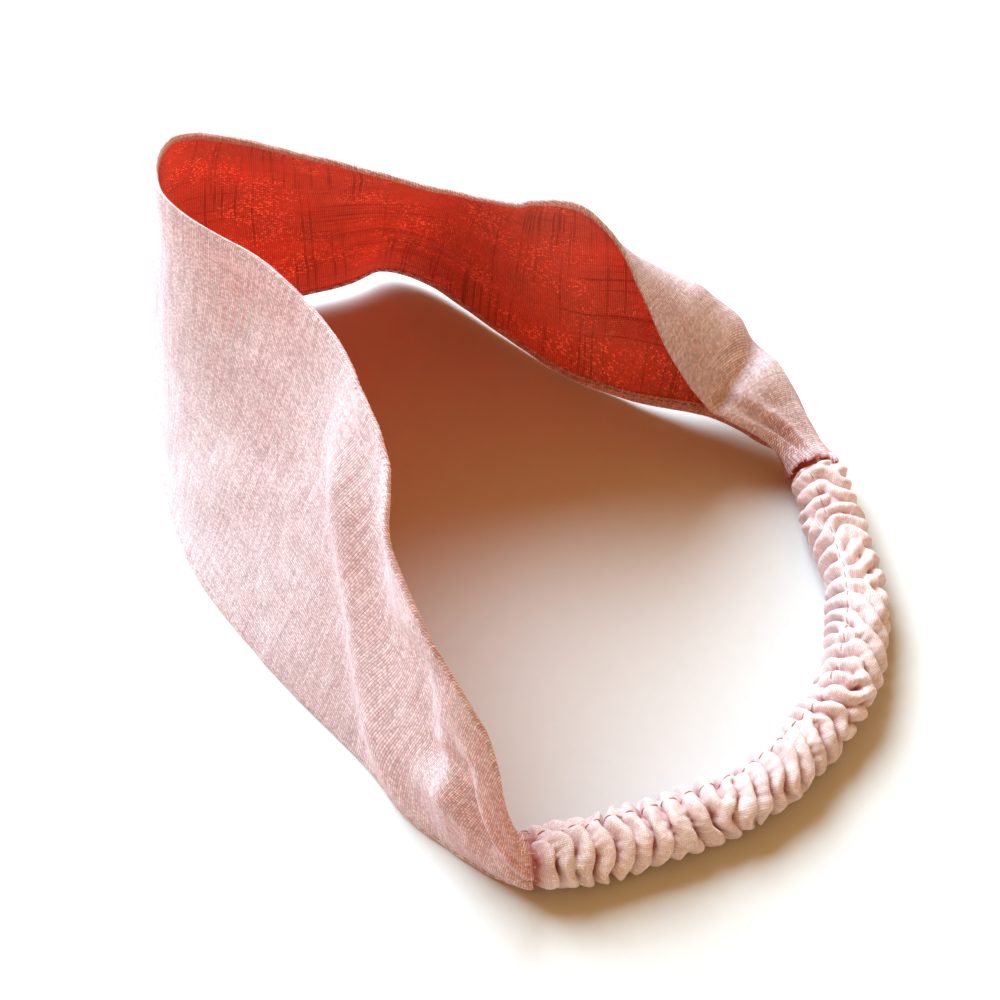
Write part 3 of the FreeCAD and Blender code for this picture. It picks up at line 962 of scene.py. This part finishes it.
def elastic_material():
    """Knitted elastic with lengthwise ribs."""
    shader = Shader("knitted_elastic")
    uv = shader.node("ShaderNodeUVMap", uv_map="FlatCloth").outputs[0]
    stitches = shader.node("ShaderNodeTexWave", {"Vector": uv, "Scale": 260.0, "Distortion": 1.0},
                           wave_type="BANDS", bands_direction="Y").outputs[0]
    colour = shader.mix(stitches, (0.62, 0.60, 0.56, 1.0), (0.88, 0.87, 0.83, 1.0))
    bump = shader.node("ShaderNodeBump", {"Strength": 0.6, "Distance": 0.0002, "Height": stitches})
    band = shader.node("ShaderNodeBsdfPrincipled", {
        "Base Color": colour, "Roughness": 0.6, "Normal": bump.outputs[0]})
    return shader.finish(band.outputs[0])


def floor_material():
    """Plain pale paper."""
    shader = Shader("pale_floor")
    place = shader.node("ShaderNodeTexCoord").outputs["Object"]
    grain = shader.noise(place, 300.0, 3.0)
    low, high = FLOOR_SHADE - 0.015, FLOOR_SHADE + 0.015
    colour = shader.mix(grain, (low, low, low, 1.0), (high, high, high, 1.0))
    paper = shader.node("ShaderNodeBsdfPrincipled", {"Base Color": colour, "Roughness": 0.85})
    return shader.finish(paper.outputs[0])


PINK = {
    "dark": (0.54, 0.41, 0.44, 1.0),
    "pale": (0.97, 0.92, 0.98, 1.0),
    "slub": (0.97, 0.84, 0.85, 1.0),
    "glow": (1.0, 0.13, 0.06, 1.0),
    "translucency": 0.32,
    "contrast": 0.17,
    "lines": 0.30,
    "line_shares": (0.66, 0.74),
    "specks": 0.0,
    "bump": 0.5,
}
# The lining's coral-red colours, its dark red slub lines included, are painted shade and painted
# back-light glow; only its glow and translucency are real light let through.
PAINTED_RED_LINING = {
    "dark": (0.40, 0.04, 0.02, 1.0),
    "pale": (0.74, 0.50, 0.43, 1.0),
    "slub": (0.26, 0.01, 0.005, 1.0),
    "glow": (0.82, 0.28, 0.19, 1.0),
    "translucency": 0.50,
    "contrast": 0.15,
    "lines": 0.30,
    "line_shares": (0.63, 0.63),
    "specks": 1.1,
    "bump": 0.5,
}
GATHERED = {
    # Colour of the shade painted into the casing's fold hollows.
    "fold_shade_paint": (0.66, 0.34, 0.33, 1.0),
    "dark": (0.78, 0.60, 0.61, 1.0),
    "pale": (0.97, 0.93, 0.96, 1.0),
    "slub": (0.97, 0.84, 0.85, 1.0),
    "glow": (1.0, 0.13, 0.06, 1.0),
    "translucency": 0.16,
    "contrast": 0.07,
    "lines": 0.10,
    "line_shares": (0.72, 0.74),
    "specks": 0.0,
    "bump": 0.5,
}
WARM_SPECK = (1.0, 0.75, 0.6, 1.0)
THREAD_COLOURS = ((0.72, 0.42, 0.40, 1.0), (0.85, 0.62, 0.60, 1.0))
# Darker copy of the thread colours: painted shade, for the stitches in the bottom hem, the panel's ends,
# the casing seam and the tacks.
SHADED_THREAD_COLOURS = ((0.45, 0.20, 0.19, 1.0), (0.66, 0.40, 0.38, 1.0))


def dress(piece, *materials):
    """Give a piece its materials in order."""
    for material in materials:
        piece.data.materials.append(material)


# ---------------------------------------------------------------- studio

CAMERA_TARGET = (0.0030, 0.0085, 0.025)
CAMERA_AZIMUTH = 119.0
CAMERA_ELEVATION = 50.75
CAMERA_DISTANCE = 0.4104
CAMERA_ANGLE = 28.0
KEY_AZIMUTH = -20.0
KEY_ELEVATION = 42.0
KEY_DISTANCE = 2.2
KEY_SIZE = 2.10
KEY_POWER = 162.0
KEY_COLOUR = (0.70, 0.88, 1.0)
FILL_COLOUR = (1.0, 0.58, 0.22, 1.0)
FILL_STRENGTH = 0.60
FLOOR_SHADE = 0.62
FLOOR_HALF = 2.0
LIGHT_TARGET = (0.0, 0.0, 0.02)


def seen_from(target, azimuth, elevation, distance):
    """Place at a distance from the target, in the direction that an azimuth and elevation give."""
    a, e = math.radians(azimuth), math.radians(elevation)
    direction = Vector((math.sin(a) * math.cos(e), -math.cos(a) * math.cos(e), math.sin(e)))
    return Vector(target) + direction * distance


def aim(item, target):
    """Turn a camera or light towards a point."""
    item.rotation_euler = (Vector(target) - item.location).to_track_quat("-Z", "Y").to_euler()


def make_camera():
    """Camera at the product shot's angle."""
    camera = bpy.data.objects.new("camera", bpy.data.cameras.new("camera"))
    bpy.context.scene.collection.objects.link(camera)
    camera.data.angle = math.radians(CAMERA_ANGLE)
    camera.data.clip_start = 0.01
    camera.location = seen_from(CAMERA_TARGET, CAMERA_AZIMUTH, CAMERA_ELEVATION, CAMERA_DISTANCE)
    aim(camera, CAMERA_TARGET)
    bpy.context.scene.camera = camera


def make_lights():
    """One large soft key from the forehead side, and a weak even fill."""
    data = bpy.data.lights.new("key", "AREA")
    data.shape = "DISK"
    data.size = KEY_SIZE
    data.energy = KEY_POWER
    data.color = KEY_COLOUR
    key = bpy.data.objects.new("key", data)
    bpy.context.scene.collection.objects.link(key)
    key.location = seen_from((0, 0, 0), KEY_AZIMUTH, KEY_ELEVATION, KEY_DISTANCE)
    aim(key, LIGHT_TARGET)
    world = bpy.data.worlds.new("studio")
    bpy.context.scene.world = world
    world.use_nodes = True
    background = world.node_tree.nodes["Background"]
    background.inputs[0].default_value = FILL_COLOUR
    background.inputs[1].default_value = FILL_STRENGTH


def make_floor():
    """Large pale floor under the headband."""
    half = FLOOR_HALF
    corners = [(-half, -half, 0), (half, -half, 0), (half, half, 0), (-half, half, 0)]
    mesh = bpy.data.meshes.new("floor")
    mesh.from_pydata(corners, [], [(0, 1, 2, 3)])
    floor = bpy.data.objects.new("floor", mesh)
    bpy.context.scene.collection.objects.link(floor)
    dress(floor, floor_material())


# ---------------------------------------------------------------- assembly


def stretch(piece):
    """Bake a piece of the elastic back's placement into its mesh."""
    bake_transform(piece)


def main():
    """Build every piece and the studio."""
    make_camera()
    make_lights()
    make_floor()
    bpy.context.scene.view_settings.view_transform = "Standard"
    bpy.context.scene.view_settings.look = "Medium High Contrast"

    pink = linen("pink_linen", PINK)
    painted_red_lining = linen("coral_linen", PAINTED_RED_LINING)
    gathered = linen("gathered_linen", GATHERED)
    between = between_layers()
    thread = thread_material("sewing_thread", *THREAD_COLOURS)
    # The same sewing thread made darker as painted shade.
    painted_shade_thread = thread_material("shaded_thread", *SHADED_THREAD_COLOURS)

    outer = make_outer_panel()
    dress(outer, pink, between)
    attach(outer, "front_panel")
    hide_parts("outer_panel")

    lining = make_lining()
    dress(lining, painted_red_lining, between)
    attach(lining, "front_panel")
    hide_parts("lining_panel")

    top_thread, bottom_thread = make_edge_stitching()
    dress(top_thread, thread)
    dress(bottom_thread, painted_shade_thread)
    for piece, node in ((top_thread, "top_edge_stitching"), (bottom_thread, "bottom_edge_stitching")):
        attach(piece, "front_panel")
        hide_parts(node)

    for right, name in enumerate(("left_end", "right_end")):
        end_thread = make_end_stitching(name + "_thread", right, 41 + right)
        dress(end_thread, painted_shade_thread)
        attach(end_thread, "front_panel")
        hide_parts(name + "_stitching")

    casing = make_casing()
    dress(casing, gathered, between)
    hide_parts("elastic_casing")
    stretch(casing)

    seam = make_casing_seam()
    dress(seam, painted_shade_thread)
    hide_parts("casing_seam_stitching")
    stretch(seam)

    elastic = make_elastic()
    dress(elastic, elastic_material())
    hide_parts("elastic_band")
    stretch(elastic)

    for name in ("left_elastic_tack", "right_elastic_tack"):
        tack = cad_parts[name]
        tack.data.materials.clear()
        tack.data.materials.append(painted_shade_thread)


main()
